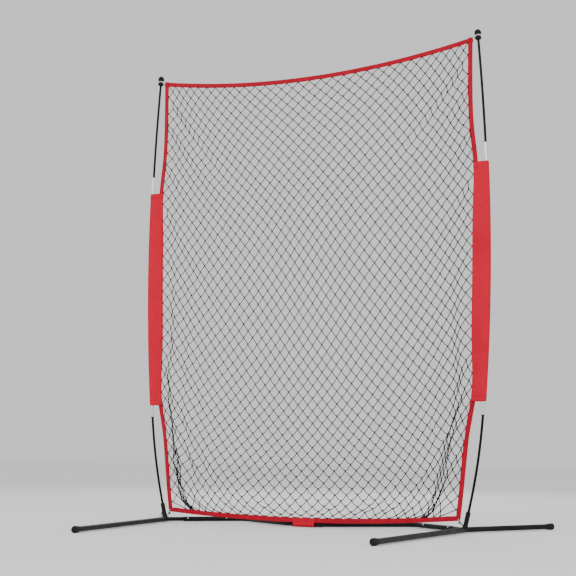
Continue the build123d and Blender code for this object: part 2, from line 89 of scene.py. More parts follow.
def make_camera():
    heading, tilt, roll = (math.radians(a) for a in (CAMERA_HEADING, CAMERA_TILT, CAMERA_ROLL))
    ahead = Vector((-math.sin(heading) * math.cos(tilt), math.cos(heading) * math.cos(tilt),
                    math.sin(tilt)))
    level = Vector((math.cos(heading), math.sin(heading), 0))
    above = level.cross(ahead)
    right = math.cos(roll) * level + math.sin(roll) * above
    up = math.cos(roll) * above - math.sin(roll) * level
    data = bpy.data.cameras.new("camera")
    data.lens, data.clip_end = CAMERA_LENS, 60
    data.shift_x, data.shift_y = CAMERA_SHIFT
    camera = bpy.data.objects.new("camera", data)
    bpy.context.scene.collection.objects.link(camera)
    camera.matrix_world = Matrix((
        (right.x, up.x, -ahead.x, CAMERA_PLACE[0]), (right.y, up.y, -ahead.y, CAMERA_PLACE[1]),
        (right.z, up.z, -ahead.z, CAMERA_PLACE[2]), (0, 0, 0, 1)))
    bpy.context.scene.camera = camera


def soft_light(name, place, target, size, power):
    data = bpy.data.lights.new(name, "AREA")
    data.shape, data.size, data.energy = "DISK", size, power
    lamp = bpy.data.objects.new(name, data)
    bpy.context.scene.collection.objects.link(lamp)
    lamp.location = place
    lamp.rotation_euler = (Vector(target) - Vector(place)).to_track_quat("-Z", "Y").to_euler()


def make_studio():
    world = bpy.data.worlds.new("studio")
    world.use_nodes = True
    sky = world.node_tree.nodes["Background"]
    sky.inputs["Color"].default_value = (1, 1, 1, 1)
    sky.inputs["Strength"].default_value = SKY_STRENGTH
    bpy.context.scene.world = world
    for lamp in LAMPS:
        soft_light(*lamp)
    bpy.ops.mesh.primitive_plane_add(size=FLOOR_SIZE, location=(0, 0, 0))
    floor = bpy.context.object
    floor.name = "floor"
    paint = bpy.data.materials.new("floor")
    paint.use_nodes = True
    shader = paint.node_tree.nodes["Principled BSDF"]
    shader.inputs["Base Color"].default_value = FLOOR_COLOR
    shader.inputs["Roughness"].default_value = FLOOR_ROUGHNESS
    floor.data.materials.append(paint)
    floor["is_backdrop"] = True


make_camera()
make_studio()

# ---------------------------------------------------------------- materials


class Finish:
    """A procedural material that is built up from its shader outwards."""

    def __init__(self, name, color, roughness, metallic=0.0, sheen=0.0):
        self.material = bpy.data.materials.new(name)
        self.material.use_nodes = True
        self.tree = self.material.node_tree
        self.shader = self.tree.nodes["Principled BSDF"]
        self.place = self.node("ShaderNodeTexCoord").outputs["Object"]
        self.color = color
        self.set_input("Base Color", (*color, 1))
        self.set_input("Roughness", roughness)
        self.set_input("Metallic", metallic)
        self.set_input("Sheen Weight", sheen)
        self.set_input("Sheen Roughness", 0.45)
        self.height = None

    def set_input(self, name, value):
        self.shader.inputs[name].default_value = value

    def node(self, kind, **settings):
        made = self.tree.nodes.new(kind)
        for key, value in settings.items():
            setattr(made, key, value)
        return made

    def link(self, source, target):
        self.tree.links.new(source, target)

    def stretched(self, scale):
        """Object coordinates, scaled differently along each axis."""
        mapping = self.node("ShaderNodeMapping")
        mapping.inputs["Scale"].default_value = scale
        self.link(self.place, mapping.inputs["Vector"])
        return mapping.outputs["Vector"]

    def noise(self, scale, detail=4.0, roughness=0.55, stretch=(1, 1, 1)):
        made = self.node("ShaderNodeTexNoise")
        made.inputs["Scale"].default_value = scale
        made.inputs["Detail"].default_value = detail
        made.inputs["Roughness"].default_value = roughness
        self.link(self.stretched(stretch), made.inputs["Vector"])
        return made.outputs["Fac"]

    def wave(self, scale, direction, distortion=0.0):
        made = self.node("ShaderNodeTexWave", wave_type="BANDS", bands_direction=direction)
        made.inputs["Scale"].default_value = scale
        made.inputs["Distortion"].default_value = distortion
        self.link(self.place, made.inputs["Vector"])
        return made.outputs["Fac"]

    def ramp(self, source, low, high, start=0.0, end=1.0):
        """The source, mapped from start..end onto low..high."""
        made = self.node("ShaderNodeMapRange")
        for key, value in (("From Min", start), ("From Max", end), ("To Min", low), ("To Max", high)):
            made.inputs[key].default_value = value
        self.link(source, made.inputs["Value"])
        return made.outputs["Result"]

    def join(self, first, second, how="MULTIPLY"):
        made = self.node("ShaderNodeMath", operation=how)
        self.link(first, made.inputs[0])
        self.link(second, made.inputs[1])
        return made.outputs["Value"]

    def tint(self, other, amount):
        """Mixes another colour into the present one by an amount that varies over the surface."""
        mix = self.node("ShaderNodeMix", data_type="RGBA")
        base = self.shader.inputs["Base Color"]
        if base.is_linked:
            self.link(base.links[0].from_socket, mix.inputs["A"])
        else:
            mix.inputs["A"].default_value = (*self.color, 1)
        mix.inputs["B"].default_value = (*other, 1)
        self.link(amount, mix.inputs["Factor"])
        self.link(mix.outputs["Result"], base)

    def polish(self, source, low, high, start=0.3, end=0.7):
        self.link(self.ramp(source, low, high, start, end), self.shader.inputs["Roughness"])

    def bump(self, source, distance, strength=1.0):
        made = self.node("ShaderNodeBump")
        made.inputs["Distance"].default_value = distance
        made.inputs["Strength"].default_value = strength
        self.link(source, made.inputs["Height"])
        if self.height:
            self.link(self.height, made.inputs["Normal"])
        self.height = made.outputs["Normal"]
        self.link(self.height, self.shader.inputs["Normal"])


def powder_coat():
    f = Finish("black_powder_coat", (0.003, 0.003, 0.0033), 0.42)
    f.set_input("Specular IOR Level", 0.2)
    f.bump(f.noise(900, 3), 0.0003, 0.6)
    f.bump(f.noise(70, 2), 0.0006, 0.25)
    f.polish(f.noise(38, 4), 0.34, 0.52)
    f.tint((0.009, 0.009, 0.0095), f.ramp(f.noise(16, 5), 0, 0.6, 0.5, 0.75))
    scuffs = f.join(f.ramp(f.noise(55, 6, 0.7, (1, 1, 1)), 0, 1, 0.66, 0.72),
                    f.ramp(f.noise(9, 2), 0, 1, 0.5, 0.65))
    f.tint((0.035, 0.035, 0.037), f.ramp(scuffs, 0, 0.7))
    return f.material


def rubber():
    f = Finish("black_rubber", (0.004, 0.004, 0.004), 0.6)
    f.set_input("Specular IOR Level", 0.3)
    f.bump(f.noise(520, 4), 0.0004, 0.6)
    f.polish(f.noise(60, 3), 0.58, 0.8)
    f.tint((0.03, 0.029, 0.027), f.ramp(f.noise(45, 6), 0, 0.7, 0.52, 0.75))
    return f.material


def plated_steel():
    f = Finish("bright_steel", (0.68, 0.68, 0.66), 0.25, metallic=1.0)
    f.bump(f.noise(1500, 2), 0.0001, 0.4)
    f.polish(f.noise(300, 3), 0.18, 0.34)
    f.tint((0.42, 0.41, 0.39), f.ramp(f.noise(220, 4), 0, 0.6, 0.5, 0.8))
    return f.material


def silver_tube():
    f = Finish("silver_tube", (0.80, 0.81, 0.81), 0.30, metallic=0.85)
    drawn = f.noise(420, 3, stretch=(1, 1, 0.02))
    f.bump(drawn, 0.0002, 0.35)
    f.polish(drawn, 0.24, 0.42)
    f.tint((0.62, 0.64, 0.65), f.ramp(f.noise(40, 5, stretch=(1, 1, 0.3)), 0, 0.7, 0.45, 0.75))
    return f.material


def moulded_plastic():
    f = Finish("black_plastic", (0.003, 0.003, 0.0032), 0.26)
    f.set_input("Specular IOR Level", 0.2)
    f.bump(f.noise(700, 2), 0.0002, 0.35)
    f.polish(f.noise(90, 4), 0.22, 0.42)
    f.tint((0.010, 0.010, 0.011), f.ramp(f.noise(130, 5), 0, 0.5, 0.55, 0.75))
    return f.material


def fibreglass():
    f = Finish("black_fibreglass", (0.003, 0.0033, 0.0032), 0.36)
    f.set_input("Specular IOR Level", 0.12)
    strands = f.noise(900, 4, stretch=(1, 1, 0.015))
    f.bump(strands, 0.0002, 0.5)
    f.polish(strands, 0.26, 0.46)
    f.tint((0.009, 0.010, 0.0095), f.ramp(strands, 0, 0.7, 0.55, 0.8))
    return f.material


def twine():
    f = Finish("black_twine", (0.004, 0.004, 0.0042), 0.8)
    f.set_input("Specular IOR Level", 0.1)
    lay = f.wave(420, "DIAGONAL", 2.0)
    f.bump(lay, 0.0005, 0.8)
    f.tint((0.011, 0.011, 0.0115), f.ramp(lay, 0, 0.8, 0.5, 1.0))
    f.polish(f.noise(260, 3), 0.62, 0.85)
    return f.material


def red_cloth(name, color, dark, threads, ribbed):
    """Woven red polyester. The threads are spaced in metres; webbing is ribbed as well."""
    f = Finish(name, color, 0.78, sheen=0.04)
    f.set_input("Specular IOR Level", 0.2)
    per_metre = 0.5 / threads
    weave = f.join(f.join(f.wave(per_metre, "X"), f.wave(per_metre, "Z"), "MULTIPLY"),
                   f.wave(per_metre, "Y"), "ADD")
    f.bump(weave, 0.00025, 0.5)
    if ribbed:
        f.bump(f.join(f.wave(per_metre / 3, "X"), f.wave(per_metre / 3, "Z"), "ADD"), 0.0005, 0.5)
    f.bump(f.noise(16, 4), 0.004, 0.25)
    # Painted shade: the weave's hollows, where its bump is low, are darkened towards the dark red.
    f.tint(dark, f.ramp(weave, 0.35, 0.0, 0.0, 0.9))
    f.tint(dark, f.ramp(f.noise(7, 5), 0.0, 0.45, 0.5, 0.8))
    f.tint((color[0], 0.010, 0.030), f.ramp(f.noise(120, 4), 0, 0.35, 0.55, 0.8))
    f.polish(f.noise(90, 3), 0.62, 0.84)
    return f.material


def pale_cord():
    f = Finish("pale_cord", (0.70, 0.70, 0.68), 0.6, sheen=0.2)
    lay = f.wave(700, "DIAGONAL", 3.0)
    f.bump(lay, 0.0004, 0.8)
    f.tint((0.40, 0.39, 0.37), f.ramp(lay, 0, 0.7, 0.4, 1.0))
    f.polish(f.noise(400, 3), 0.5, 0.75)
    return f.material


FINISH = {
    "black_powder_coat": powder_coat(),
    "black_rubber": rubber(),
    "bright_steel": plated_steel(),
    "silver_tube": silver_tube(),
    "black_plastic": moulded_plastic(),
    "black_fibreglass": fibreglass(),
    "black_twine": twine(),
    "red_webbing": red_cloth("red_webbing", (0.50, 0.0004, 0.020), (0.24, 0.0003, 0.010), 0.0012, True),
    "red_fabric": red_cloth("red_fabric", (0.68, 0.0004, 0.028), (0.44, 0.0003, 0.018), 0.0008, False),
    "red_thread": red_cloth("red_thread", (0.34, 0.0004, 0.013), (0.15, 0.0003, 0.006), 0.0005, False),
    "pale_cord": pale_cord(),
}

for part in frame["record"]["subparts"]:
    for own in nodes[part["node"]].material_slots:
        own.material = FINISH[part["material_slot"]]

# ---------------------------------------------------------------- meshes


def make_piece(name, points, faces, slot, finish=None, stands_for=(), smooth=True):
    """A mesh piece that rides on the frame."""
    mesh = bpy.data.meshes.new(name)
    mesh.from_pydata(np.asarray(points, float).tolist(), [], faces)
    mesh.validate()
    mesh.update()
    if smooth:
        mesh.shade_smooth()
    piece = bpy.data.objects.new(name, mesh)
    bpy.context.scene.collection.objects.link(piece)
    mesh.materials.append(FINISH[finish or slot])
    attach(piece, BODY)
    if stands_for:
        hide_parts(*stands_for)
    return piece


def grid_faces(rows, columns, closed, offset=0):
    """Quads between rows of points. Closed joins each row's last point to its first."""
    faces = []
    for row in range(rows - 1):
        for column in range(columns if closed else columns - 1):
            beside = (column + 1) % columns
            faces.append((offset + row * columns + column, offset + row * columns + beside,
                          offset + (row + 1) * columns + beside, offset + (row + 1) * columns + column))
    return faces


def capped_tube(rings):
    """A closed tube through rings of points, with its ends filled."""
    rings = np.asarray(rings, float)
    rows, columns = rings.shape[:2]
    faces = grid_faces(rows, columns, True)
    faces.append(tuple(reversed(range(columns))))
    faces.append(tuple(range((rows - 1) * columns, rows * columns)))
    return rings.reshape(-1, 3), faces


def joined(meshes):
    """Several (points, faces) as one."""
    points, faces, count = [], [], 0
    for some, own in meshes:
        points.append(np.asarray(some, float).reshape(-1, 3))
        faces += [tuple(i + count for i in face) for face in own]
        count += len(points[-1])
    return np.concatenate(points), faces


def directions(line, closed=False):
    """Unit tangents of a line of points."""
    line = np.asarray(line, float)
    if closed:
        step = np.roll(line, -1, 0) - np.roll(line, 1, 0)
    else:
        step = np.gradient(line, axis=0)
    return step / np.maximum(np.linalg.norm(step, axis=1, keepdims=True), 1e-12)


def frames_along(line, first_normal):
    """Normals and binormals that turn as little as possible along a line."""
    tangents = directions(line)
    normal = np.asarray(first_normal, float)
    normals = []
    for tangent in tangents:
        normal = normal - tangent * normal.dot(tangent)
        normal = normal / np.linalg.norm(normal)
        normals.append(normal)
    normals = np.array(normals)
    return normals, np.cross(tangents, normals)


def round_cord(line, radius, sides=8, twist=0.0, bulge=0.0, first_normal=(0.0, 1.0, 0.1)):
    """A closed cord along a line. Twist turns and bulge swells its strands, as in laid cord."""
    line = np.asarray(line, float)
    normals, binormals = frames_along(line, first_normal)
    along = np.concatenate([[0], np.cumsum(np.linalg.norm(np.diff(line, axis=0), axis=1))])
    angle = np.linspace(0, 2 * np.pi, sides, endpoint=False)
    phase = angle[None, :] * 2 + along[:, None] * twist
    reach = radius * (1 + bulge * np.cos(phase))
    rings = (line[:, None] + reach[..., None] * (np.cos(angle)[None, :, None] * normals[:, None]
             + np.sin(angle)[None, :, None] * binormals[:, None]))
    return capped_tube(rings)


def smooth_line(points, count):
    """Points spread evenly along a smooth curve through a few."""
    points = np.asarray(points, float)
    spots = np.linspace(0, len(points) - 1, count)
    padded = np.concatenate([[2 * points[0] - points[1]], points, [2 * points[-1] - points[-2]]])
    made = []
    for spot in spots:
        k = min(int(spot), len(points) - 2)
        t = spot - k
        a, b, c, d = padded[k:k + 4]
        made.append(0.5 * (2 * b + (c - a) * t + (2 * a - 5 * b + 4 * c - d) * t**2
                           + (3 * b - a - 3 * c + d) * t**3))
    return np.array(made)


# ---------------------------------------------------------------- the frame's outlines


class Outline:
    """Reads a CAD node's reach where a plane square to an axis cuts it."""

    def __init__(self, *names):
        points, edges, count = [], [], 0
        for name in names:
            mesh = nodes[name].data
            points += [tuple(v.co) for v in mesh.vertices]
            edges += [(a + count, b + count) for a, b in (e.vertices for e in mesh.edges)]
            count = len(points)
        self.points, self.edges = np.array(points), np.array(edges)

    def cut(self, axis, at):
        a, b = self.points[self.edges[:, 0]], self.points[self.edges[:, 1]]
        crosses = (a[:, axis] - at) * (b[:, axis] - at) <= 0
        a, b = a[crosses], b[crosses]
        share = (at - a[:, axis]) / np.where(a[:, axis] == b[:, axis], 1, b[:, axis] - a[:, axis])
        return a + (b - a) * share[:, None]

    def reach(self, axis, at, along):
        """The least and greatest value along one axis, where a plane cuts the node."""
        crossing = self.cut(axis, at)[:, along]
        return crossing.min(), crossing.max()


def sampled(outline, axis, along, count, ends):
    """A node's two edges as functions of the height or the width."""
    low, high = outline.points[:, axis].min() + ends, outline.points[:, axis].max() - ends
    at = np.linspace(low, high, count)
    reach = np.array([outline.reach(axis, value, along) for value in at])
    return at, reach[:, 0], reach[:, 1]


X, Z = 0, 2
CORNER_INSET, EDGE_INSET = 0.006, 0.001
panel = Outline("net_panel")
panel_right_side = panel.points[panel.points[:, X] > 0.5]
panel_z = np.linspace(panel_right_side[:, Z].min() + CORNER_INSET,
                      panel.points[:, Z].max() - EDGE_INSET, 120)
panel_half = np.array([panel.reach(Z, z, X)[1] for z in panel_z])
panel_low_corner = panel_half[0] - CORNER_INSET
panel_x = np.linspace(-panel_low_corner, panel_low_corner, 80)
panel_rise = np.array([panel.reach(X, x, Z) for x in panel_x])


def half_width(z):
    return np.interp(z, panel_z, panel_half)


def top_edge(x):
    """The top edge sags as a parabola, so the middle's shape carries on out to the corners."""
    middle, end = panel_rise[len(panel_x) // 2, 1], panel_rise[-1, 1]
    return middle + (end - middle) * (np.asarray(x) / panel_low_corner) ** 2


def bottom_edge(x):
    return np.interp(x, panel_x, panel_rise[:, 0])


# ---------------------------------------------------------------- the knotted mesh
BAR = 0.0400  # twine between two knots
ROWS = 36  # whole diamonds from top to bottom
GRID_COLUMNS = 36  # more than the net ever has
CUT_AT = (0.0, 0.10, 0.35, 1.0)  # shares of the way down
CUT_COLUMNS = (30.0, 32.0, 34.4, 35.6)  # diamonds across there, as the net is cut
# Near each lower corner the net is gathered in a pleat. Its sizes are in half diamonds.
PLEAT_AT = (0.40, 0.62, 0.74, 0.82, 0.90, 1.0)  # shares of the way down
PLEAT_TAKES = (0.0, 0.9, 1.5, 3.0, 4.6, 5.0)  # hidden inside the pleat
PLEAT_IN = (3.5, 2.8, 1.6, 2.4, 3.8, 4.8)  # between the pleat and the side
PLEAT_SPREAD = 1.8  # the width that still shows
PLEAT_DEPTH = BAR / 6  # forward and back, for each half diamond inside
PLEAT_LEAN = 0.25  # further in at the right, nearer the side at the left
MIDDLE_WIDTH = (1.15, -0.19, 0.08)  # of the middle diamonds, and what mid height and the foot add
MID_CROWD = 0.93  # how closely the side diamonds stand at mid height
ROW_SHIFT = (0.13, -0.04)  # one and two waves down the net, which spread the rows at mid height
TWINE_R, TWINE_SIDES = 0.0018, 4
TWINE_SWELL = (1.18, 0.96, 1.18)  # at a bar's ends and middle
SAG_SHARE, MOST_SAG = 0.6, 0.005  # of a slack bar
KNOT_R, KNOT_SIDES, KNOT_SCALES = 0.0034, 6, (0.88, 1.15)
TUCK = 0.0005  # how far the edge knots sit under the binding
STEPS, SETTLE, SWEEPS, TIME_STEP, DRAG = 150, 60, 4, 0.004, 0.96
HUNG_SHARE = 0.26  # how much of the simulated hang is kept, picked against the photo
FOLD_SEED, FOLD_DEPTH, FOLD_PITCH = 3, 0.020, 0.085
FOLD_TOP, FOLD_HEIGHT = 1.35, 0.9  # the side folds grow from this height down, over this drop
FOLD_REACH, FOLD_START = 0.16, 0.03  # their spread from the side
BILLOW, UNEVEN = 0.010, 0.0015  # the whole net's slow waves, and each knot's own offset


def net_grid():
    """Knots at every second crossing of a grid of half diamonds, cut and pulled to the outline."""
    across, down = np.meshgrid(np.arange(-GRID_COLUMNS, GRID_COLUMNS + 1), np.arange(2 * ROWS + 1),
                               indexing="ij")
    reach = np.interp(down / (2 * ROWS), CUT_AT, CUT_COLUMNS)
    used = ((across + down) % 2 == 0) & (np.abs(across) <= reach)
    index = -np.ones(across.shape, int)
    index[used] = np.arange(used.sum())
    at, v, reach = across[used], down[used] / (2 * ROWS), reach[used]
    sides = np.abs(at) > reach - 1
    held = sides | (v == 0) | (v == 1)
    takes, inward = np.interp(v, PLEAT_AT, PLEAT_TAKES), np.interp(v, PLEAT_AT, PLEAT_IN)
    inward = inward * (1 + PLEAT_LEAN * np.sign(at))
    through = np.clip(1 - (reach - inward - np.abs(at)) / (takes + PLEAT_SPREAD), 0, 1)
    shown = np.abs(at) - takes * through**2 * (3 - 2 * through)
    u = np.sign(at) * np.where(sides, 1, shown / (reach - takes))
    pleat = -takes * PLEAT_DEPTH * np.sin(2 * np.pi * through)
    # At the top and the foot the middle diamonds are the widest. At mid height the widest ones
    # stand between the middle and the sides.
    mid, foot = np.sin(np.pi * v), np.clip(4 * v - 3, 0, 1)
    wide = MIDDLE_WIDTH[0] + MIDDLE_WIDTH[1] * mid + MIDDLE_WIDTH[2] * foot
    crowd = MID_CROWD * mid
    u = wide * u + (1 - wide + crowd / 5) * u**3 - crowd / 5 * u**5
    turns = 2 * np.pi * v
    shift = ROW_SHIFT[0] * np.sin(turns) / (2 * np.pi) + ROW_SHIFT[1] * np.sin(2 * turns) / (4 * np.pi)
    v = v - shift * (1 - u * u)
    x = u * half_width(1.0)
    for _ in range(8):
        z = (top_edge(x) + TUCK) * (1 - v) + (bottom_edge(x) - TUCK) * v
        x = u * (half_width(z) + TUCK)
    groups = []
    for turn in (1, -1):
        below = np.zeros_like(used)  # whether there is a knot at the end of a bar down to this side
        below[:, :-1] = np.roll(used, -turn, 0)[:, 1:]
        for parity in (0, 1):
            a, b = np.where(used & below & (down % 2 == parity))
            groups.append((index[a, b], index[a + turn, b + 1]))
    return np.stack([x, pleat, z], 1), held, groups


def pull_bars(points, free, groups, only_stretched):
    """Moves each bar's two knots so that it has its length again."""
    for a, b in groups:
        gap = points[b] - points[a]
        length = np.linalg.norm(gap, axis=1)
        excess = np.maximum(length - BAR, 0) if only_stretched else length - BAR
        give = np.maximum(free[a] + free[b], 1e-9) * np.maximum(length, 1e-9)
        shift = gap * (excess / give)[:, None]
        points[a] += shift * free[a][:, None]
        points[b] -= shift * free[b][:, None]


def hang_net(points, held, groups):
    """Moves the shaped net part of the way to a simulated hang by its edge knots."""
    draw = np.random.default_rng(FOLD_SEED)
    x, z = points[:, 0], points[:, 2]
    edge = half_width(z) - np.abs(x)
    slack = (np.clip((FOLD_TOP - z) / FOLD_HEIGHT, 0, 1) * np.exp(-(edge / FOLD_REACH) ** 2)
             * np.clip(edge / FOLD_START, 0, 1))
    points[:, 1] += FOLD_DEPTH * slack * np.sin(2 * np.pi * edge / FOLD_PITCH + 1.5 * z * np.sign(x))
    points[:, 1] += BILLOW * np.sin(4 * x + 1) * np.sin(3 * z) + draw.normal(0, UNEVEN, len(x))
    points[held, 1] = 0
    free = np.where(held, 0.0, 1.0)
    hung, speed = points.copy(), np.zeros_like(points)
    fall = np.array([0, 0, -9.81]) * TIME_STEP**2
    for _ in range(STEPS):
        before = hung.copy()
        speed *= DRAG
        hung = hung + (speed * TIME_STEP + fall) * free[:, None]
        for _ in range(SWEEPS):
            pull_bars(hung, free, groups, False)
        speed = (hung - before) / TIME_STEP
    points = points + (hung - points) * HUNG_SHARE
    for _ in range(SETTLE):
        pull_bars(points, free, groups, True)
    return points


def twine_tubes(starts, ends):
    """A thin closed tube for each bar, which bows down a little where the bar is slack."""
    along, swell = np.array([0.0, 0.5, 1.0]), np.array(TWINE_SWELL)
    gap = ends - starts
    length = np.linalg.norm(gap, axis=1)
    ahead = gap / length[:, None]
    side = np.cross(ahead, [0.0, 1.0, 0.0])
    side /= np.linalg.norm(side, axis=1)[:, None]
    over = np.cross(side, ahead)
    slack = np.clip(BAR * 1.004 - length, 0, 0.01)
    sag = np.minimum(SAG_SHARE * np.sqrt(slack * BAR), MOST_SAG)
    middle = starts[:, None] + gap[:, None] * along[None, :, None]
    middle[..., 2] -= sag[:, None] * (4 * along * (1 - along))[None]
    turn = np.linspace(0, 2 * np.pi, TWINE_SIDES, endpoint=False)
    ring = np.cos(turn)[None, :, None] * side[:, None] + np.sin(turn)[None, :, None] * over[:, None]
    points = middle[:, :, None] + TWINE_R * swell[None, :, None, None] * ring[:, None]
    rows, count = len(along), len(along) * TWINE_SIDES
    faces = grid_faces(rows, TWINE_SIDES, True)
    faces.append(tuple(reversed(range(TWINE_SIDES))))
    faces.append(tuple(range(count - TWINE_SIDES, count)))
    return points.reshape(-1, 3), [tuple(i + bar * count for i in face)
                                   for bar in range(len(starts)) for face in faces]


def knot_lumps(places):
    """A sheet-bend knot at each place: a squat lump with the swell of two crossing wraps."""
    draw = np.random.default_rng(FOLD_SEED + 1)
    around = np.linspace(0, 2 * np.pi, KNOT_SIDES, endpoint=False)
    lump = [(0.0, 0.0, -1.0)]
    for t in np.radians((-48, 0, 48)):
        for a in around:
            wrap = 1 + 0.18 * math.cos(2 * a + 2.2 * t) * math.cos(t)
            lump.append((wrap * math.cos(a) * math.cos(t), 0.80 * wrap * math.sin(a) * math.cos(t),
                         1.05 * math.sin(t)))
    lump.append((0.0, 0.0, 1.0))
    lump = np.array(lump) * KNOT_R
    last, top = len(lump) - 1, 1 + 2 * KNOT_SIDES
    faces = grid_faces(3, KNOT_SIDES, True, 1)
    faces += [(0, 1 + (k + 1) % KNOT_SIDES, 1 + k) for k in range(KNOT_SIDES)]
    faces += [(last, top + k, top + (k + 1) % KNOT_SIDES) for k in range(KNOT_SIDES)]
    spin = draw.uniform(0, 2 * np.pi, len(places))
    scale = draw.uniform(*KNOT_SCALES, len(places))
    c, s = np.cos(spin)[:, None], np.sin(spin)[:, None]
    depth = np.broadcast_to(lump[:, 1], (len(places), len(lump)))
    turned = np.stack([c * lump[:, 0] - s * lump[:, 2], depth, s * lump[:, 0] + c * lump[:, 2]], -1)
    points = places[:, None] + turned * scale[:, None, None]
    return points.reshape(-1, 3), [tuple(i + knot * len(lump) for i in face)
                                   for knot in range(len(places)) for face in faces]


def make_net():
    points, held, groups = net_grid()
    knots = hang_net(points, held, groups)
    starts = np.concatenate([knots[a] for a, _ in groups])
    ends = np.concatenate([knots[b] for _, b in groups])
    net = make_piece("net_mesh", *joined([twine_tubes(starts, ends), knot_lumps(knots)]), "black_twine",
                     stands_for=["net_panel"])


make_net()

# ---------------------------------------------------------------- the red binding
STITCH_STEP, STITCH_LONG, STITCH_R = 0.0042, 0.0030, 0.00035
BINDING_THICK = 0.0030
CORNER_LAP = 1.18  # the top and bottom tapes lie over the side ones at the corners
TAPE_WIDTH = 0.021
SIDE_TWIST = {"right": (44.0, 0.40, 0.06), "left": (8.0, 0.40, 0.10)}  # degrees, height, spread
TAPE_SECTION = (  # across the width and through the thickness, from the fold round to the fold
    (1.0, 0.0), (0.97, 0.34), (0.88, 0.5), (0.45, 0.44), (0.0, 0.40), (-0.5, 0.40), (-0.72, 0.36),
    (-0.94, 0.42), (-1.0, 0.2), (-1.0, -0.2), (-0.94, -0.42), (-0.72, -0.36), (-0.5, -0.40),
    (0.0, -0.40), (0.45, -0.44), (0.88, -0.5), (0.97, -0.34))
TAPE_FACE = 0.40  # the flat of the tape's face, in thicknesses from its middle
SEAM = -0.62  # the stitches' place across the tape, in half widths
RIPPLE, SCALLOP, SCALLOP_PITCH = 0.0005, 0.0006, 0.055


def ripple(at, phase, across):
    """How far the tape waves out of its plane at a distance along it, more at its open edge."""
    wave = math.sin(at * 61 + phase) + 0.6 * math.sin(at * 23)
    return RIPPLE * wave * (0.4 - 0.6 * across)


def ribbon(outer, inner, twist, phase, thicker):
    """A folded tape between two edge lines: rounded at its fold, thin at its open edge."""
    outer, inner = np.asarray(outer, float), np.asarray(inner, float)
    middle, half = (outer + inner) / 2, (outer - inner) / 2
    ahead = directions(middle)
    flat = half / np.linalg.norm(half, axis=1, keepdims=True)
    width = np.linalg.norm(half, axis=1)
    face = np.cross(ahead, flat)
    along = np.concatenate([[0], np.cumsum(np.linalg.norm(np.diff(middle, axis=0), axis=1))])
    turn = np.radians(twist)
    across_dir = flat * np.cos(turn)[:, None] + face * np.sin(turn)[:, None]
    face_dir = face * np.cos(turn)[:, None] - flat * np.sin(turn)[:, None]
    rings = []
    for k, place in enumerate(middle):
        scallop = SCALLOP * math.sin(along[k] * 2 * math.pi / SCALLOP_PITCH)
        ring = []
        for w, t in TAPE_SECTION:
            reach = w * width[k] + (scallop if w < -0.6 else 0.0)
            out = t * BINDING_THICK * thicker + ripple(along[k], phase, w)
            ring.append(place + across_dir[k] * reach + face_dir[k] * out)
        rings.append(ring)
    return capped_tube(rings), (middle, across_dir, face_dir, width, along)


def stitch_row(track, side, phase, thicker):
    """Short raised stitches along one face of a ribbon."""
    middle, across_dir, face_dir, width, along = track
    stitches = []
    turn = np.linspace(0, 2 * np.pi, 5, endpoint=False)
    for centre in np.arange(0.012, along[-1] - 0.012, STITCH_STEP):
        rings = []
        for part, swell in ((-0.5, 0.5), (0.0, 1.0), (0.5, 0.5)):
            at = centre + part * STITCH_LONG
            line = np.array([np.interp(at, along, middle[:, c]) for c in range(3)])
            sideways = np.array([np.interp(at, along, across_dir[:, c]) for c in range(3)])
            out = np.array([np.interp(at, along, face_dir[:, c]) for c in range(3)])
            reach = np.interp(at, along, width) * SEAM
            lift = side * TAPE_FACE * BINDING_THICK * thicker + ripple(at, phase, SEAM)
            core = line + sideways * reach + out * lift
            rings.append([core + STITCH_R * swell * (math.cos(a) * sideways + math.sin(a) * out)
                          for a in turn])
        stitches.append(capped_tube(rings))
    return stitches


def dashes(line):
    """Raised stitches along any line of points."""
    along = np.concatenate([[0], np.cumsum(np.linalg.norm(np.diff(line, axis=0), axis=1))])
    made = []
    for centre in np.arange(STITCH_STEP, along[-1] - STITCH_STEP / 2, STITCH_STEP):
        spots = [[np.interp(centre + part * STITCH_LONG, along, line[:, c]) for c in range(3)]
                 for part in (-0.5, 0.0, 0.5)]
        made.append(round_cord(spots, STITCH_R, 5, first_normal=(0.3, 1.0, 0.2)))
    return made


def make_binding(name, outer, inner, twist, stands_for, phase, thicker=1.0):
    (points, faces), track = ribbon(outer, inner, twist, phase, thicker)
    piece = make_piece(name, points, faces, "red_webbing", stands_for=[stands_for])
    stitches = stitch_row(track, 1, phase, thicker) + stitch_row(track, -1, phase, thicker)
    thread = make_piece(f"{name}_stitching", *joined(stitches), "red_webbing", finish="red_thread")


def offset_inward(outer, inward):
    """The tape's inner edge: its width in from the outer edge, square to it."""
    ahead = directions(outer)
    across = np.stack([ahead[:, 2], np.zeros(len(outer)), -ahead[:, 0]], 1)
    across *= np.sign((across * inward).sum(1, keepdims=True))
    return outer + across * TAPE_WIDTH


def side_lines(side, sign):
    z, low, high = sampled(Outline(f"side_band_{side}"), Z, X, 170, 0.0006)
    outer = np.stack([high if sign > 0 else low, np.zeros_like(z), z], 1)
    return outer, offset_inward(outer, np.array([-sign, 0.0, 0.0]))


def across_lines(name, outer_is_high):
    x, low, high = sampled(Outline(name), X, Z, 150, 0.0006)
    outer = np.stack([x, np.zeros_like(x), high if outer_is_high else low], 1)
    return outer, offset_inward(outer, np.array([0.0, 0.0, -1.0 if outer_is_high else 1.0]))


for side, sign in SIDES:
    outer, inner = side_lines(side, sign)
    most, height, spread = SIDE_TWIST[side]
    twist = most * np.exp(-((outer[:, 2] - height) / spread) ** 2)
    make_binding(f"side_binding_{side}", outer, inner, sign * twist, f"side_band_{side}", 0.7 * sign)
for name, node, high in (("top_binding", "top_band", True), ("bottom_binding", "bottom_band", False)):
    outer, inner = across_lines(node, high)
    make_binding(name, outer, inner, np.zeros(len(outer)), node, 1.9, CORNER_LAP)

